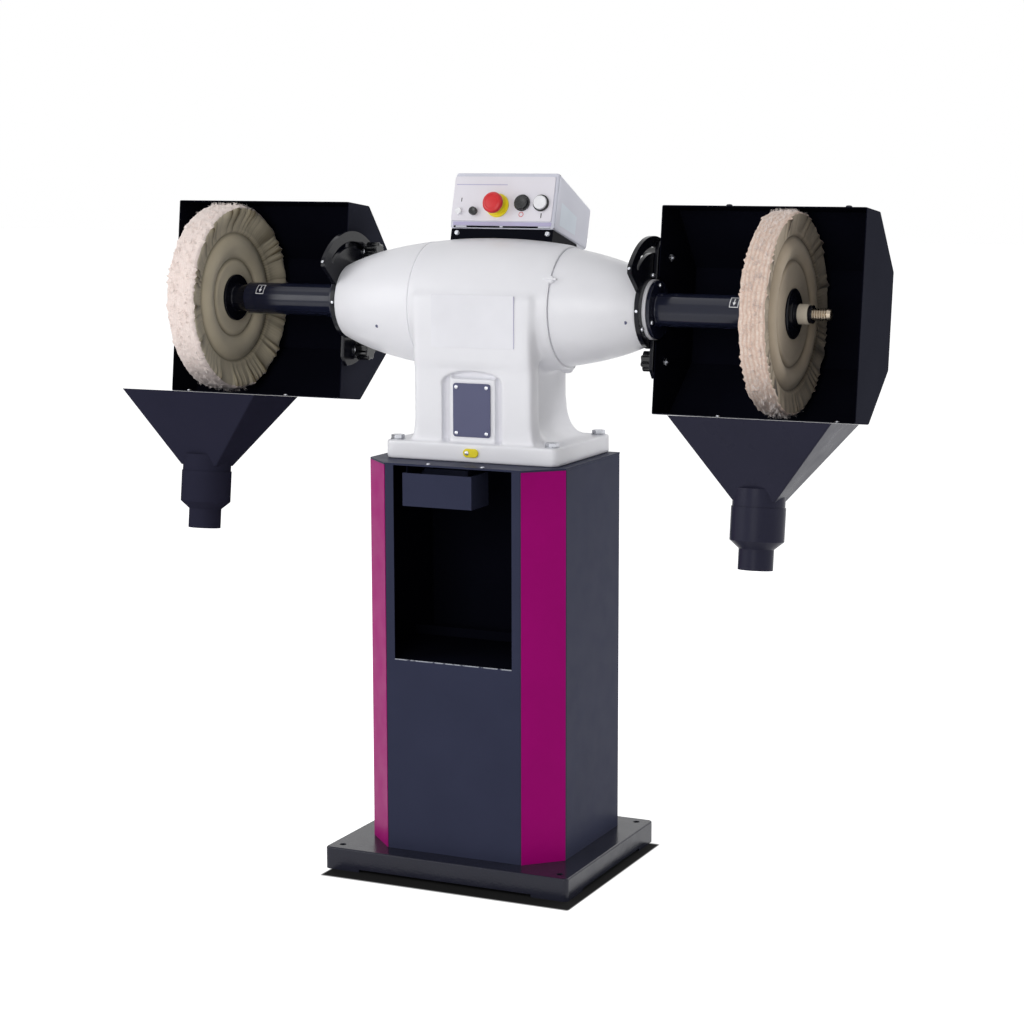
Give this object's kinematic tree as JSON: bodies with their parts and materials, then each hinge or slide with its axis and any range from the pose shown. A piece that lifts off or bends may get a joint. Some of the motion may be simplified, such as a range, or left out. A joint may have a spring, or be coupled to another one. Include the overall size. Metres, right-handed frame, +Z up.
{
  "type": "pedestal polishing machine",
  "caption": "Floor-standing buffing machine: motor and long spindle on a folded steel column, a cloth wheel under a swinging dust hood at each end, sloping control box on top.",
  "frame": {"origin": "on the floor, under the middle of the machine's bounding box", "axes": "+X along the spindle towards the right-hand wheel, +Y away from the operator, +Z up"},
  "size_m": [1.582, 0.4824, 1.4416],
  "materials": {
    "anthracite_paint": "semi-gloss anthracite powder coat with a fine hammered texture",
    "magenta_paint": "glossy magenta paint",
    "cream_paint": "off-white enamel over a cast surface",
    "slate_paint": "slate grey satin paint",
    "black_paint": "glossy blue-black paint",
    "box_paint": "light grey satin powder coat",
    "bright_steel": "bright machined steel",
    "winding_copper": "varnished copper winding and laminations",
    "cotton": "pleated undyed cotton layers with a fluffy edge",
    "black_plastic": "glossy black plastic",
    "red_plastic": "satin red plastic",
    "yellow_plastic": "satin yellow plastic",
    "white_plastic": "glossy white plastic"
  },
  "bodies": {
    "pedestal": {"base_tray": "anthracite_paint", "column_shell": "anthracite_paint", "trim_strip_left": "magenta_paint", "trim_strip_right": "magenta_paint", "top_plate": "anthracite_paint", "shelf_plate": "anthracite_paint", "tray_rail_left": "anthracite_paint", "tray_rail_right": "anthracite_paint", "motor_housing": "cream_paint", "cover_plate": "slate_paint", "earth_terminal": "yellow_plastic", "foot_bolt_front_left": "bright_steel", "foot_bolt_front_right": "bright_steel", "foot_bolt_back_left": "bright_steel", "foot_bolt_back_right": "bright_steel", "end_bell_left": "cream_paint", "end_bell_right": "cream_paint", "stator": "winding_copper", "bearing_left": "bright_steel", "bearing_right": "bright_steel", "bracket_left": "black_paint", "bracket_right": "black_paint", "spindle_tube_left": "black_paint", "spindle_tube_right": "black_paint", "tube_bearing_left": "bright_steel", "tube_bearing_right": "bright_steel", "control_box": "box_paint", "box_cradle": "black_paint", "control_panel": "box_paint", "stop_collar": "yellow_plastic", "pilot_lamp": "white_plastic", "contactor": "black_plastic"},
    "spindle": {"shaft": "bright_steel", "rotor_core": "bright_steel", "inner_flange_left": "black_paint", "inner_flange_right": "black_paint", "buffing_wheel_left": "cotton", "buffing_wheel_right": "cotton", "outer_flange_left": "black_paint", "outer_flange_right": "black_paint", "sleeve_nut_left": "bright_steel", "sleeve_nut_right": "bright_steel"},
    "dust_hood_left": {"swivel_plate_left": "black_paint", "hood_left": "anthracite_paint", "funnel_left": "anthracite_paint", "pipe_reducer_left": "black_plastic"},
    "dust_hood_right": {"swivel_plate_right": "black_paint", "hood_right": "anthracite_paint", "funnel_right": "anthracite_paint", "pipe_reducer_right": "black_plastic"},
    "slot_clamp_left": {"slot_knob_left": "black_plastic"},
    "slot_clamp_right": {"slot_knob_right": "black_plastic"},
    "lower_clamp_left": {"lower_knob_left": "black_plastic"},
    "lower_clamp_right": {"lower_knob_right": "black_plastic"},
    "emergency_push": {"emergency_stop": "red_plastic"},
    "stop_push": {"stop_button": "black_plastic"},
    "start_push": {"start_button": "white_plastic"},
    "reset_push": {"reset_button": "black_plastic"},
    "hanging_tray": {"tray": "anthracite_paint"}
  },
  "joints": [
    {"name": "spindle_spin", "type": "hinge", "parent": "pedestal", "child": "spindle", "pos_m": [0, 0.01978, 1.171], "axis": [1, 0, 0], "continuous": true},
    {"name": "hood_left_swing", "type": "hinge", "parent": "pedestal", "child": "dust_hood_left", "pos_m": [-0.36, 0.01978, 1.171], "axis": [1, 0, 0], "range_deg": [0, 75]},
    {"name": "hood_right_swing", "type": "hinge", "parent": "pedestal", "child": "dust_hood_right", "pos_m": [0.36, 0.01978, 1.171], "axis": [1, 0, 0], "range_deg": [0, 75]},
    {"name": "slot_knob_left_turn", "type": "hinge", "parent": "dust_hood_left", "child": "slot_clamp_left", "pos_m": [-0.32, 0.08513, 1.27164], "axis": [1, 0, 0], "continuous": true},
    {"name": "slot_knob_right_turn", "type": "hinge", "parent": "dust_hood_right", "child": "slot_clamp_right", "pos_m": [0.32, 0.08513, 1.27164], "axis": [1, 0, 0], "continuous": true},
    {"name": "lower_knob_left_turn", "type": "hinge", "parent": "dust_hood_left", "child": "lower_clamp_left", "pos_m": [-0.34, 0.0571, 1.06276], "axis": [1, 0, 0], "continuous": true},
    {"name": "lower_knob_right_turn", "type": "hinge", "parent": "dust_hood_right", "child": "lower_clamp_right", "pos_m": [0.34, 0.0571, 1.06276], "axis": [1, 0, 0], "continuous": true},
    {"name": "emergency_press", "type": "slide", "parent": "pedestal", "child": "emergency_push", "axis": [0, 0.9613, -0.2756], "range_m": [0, 0.004], "stiffness_N_per_m": 600},
    {"name": "stop_press", "type": "slide", "parent": "pedestal", "child": "stop_push", "axis": [0, 0.9613, -0.2756], "range_m": [0, 0.0035], "stiffness_N_per_m": 400},
    {"name": "start_press", "type": "slide", "parent": "pedestal", "child": "start_push", "axis": [0, 0.9613, -0.2756], "range_m": [0, 0.0035], "stiffness_N_per_m": 400},
    {"name": "reset_press", "type": "slide", "parent": "pedestal", "child": "reset_push", "axis": [0, 0.9613, -0.2756], "range_m": [0, 0.002], "stiffness_N_per_m": 400},
    {"name": "tray_slide", "type": "slide", "parent": "pedestal", "child": "hanging_tray", "axis": [0, -1, 0], "range_m": [0, 0.05]}
  ]
}
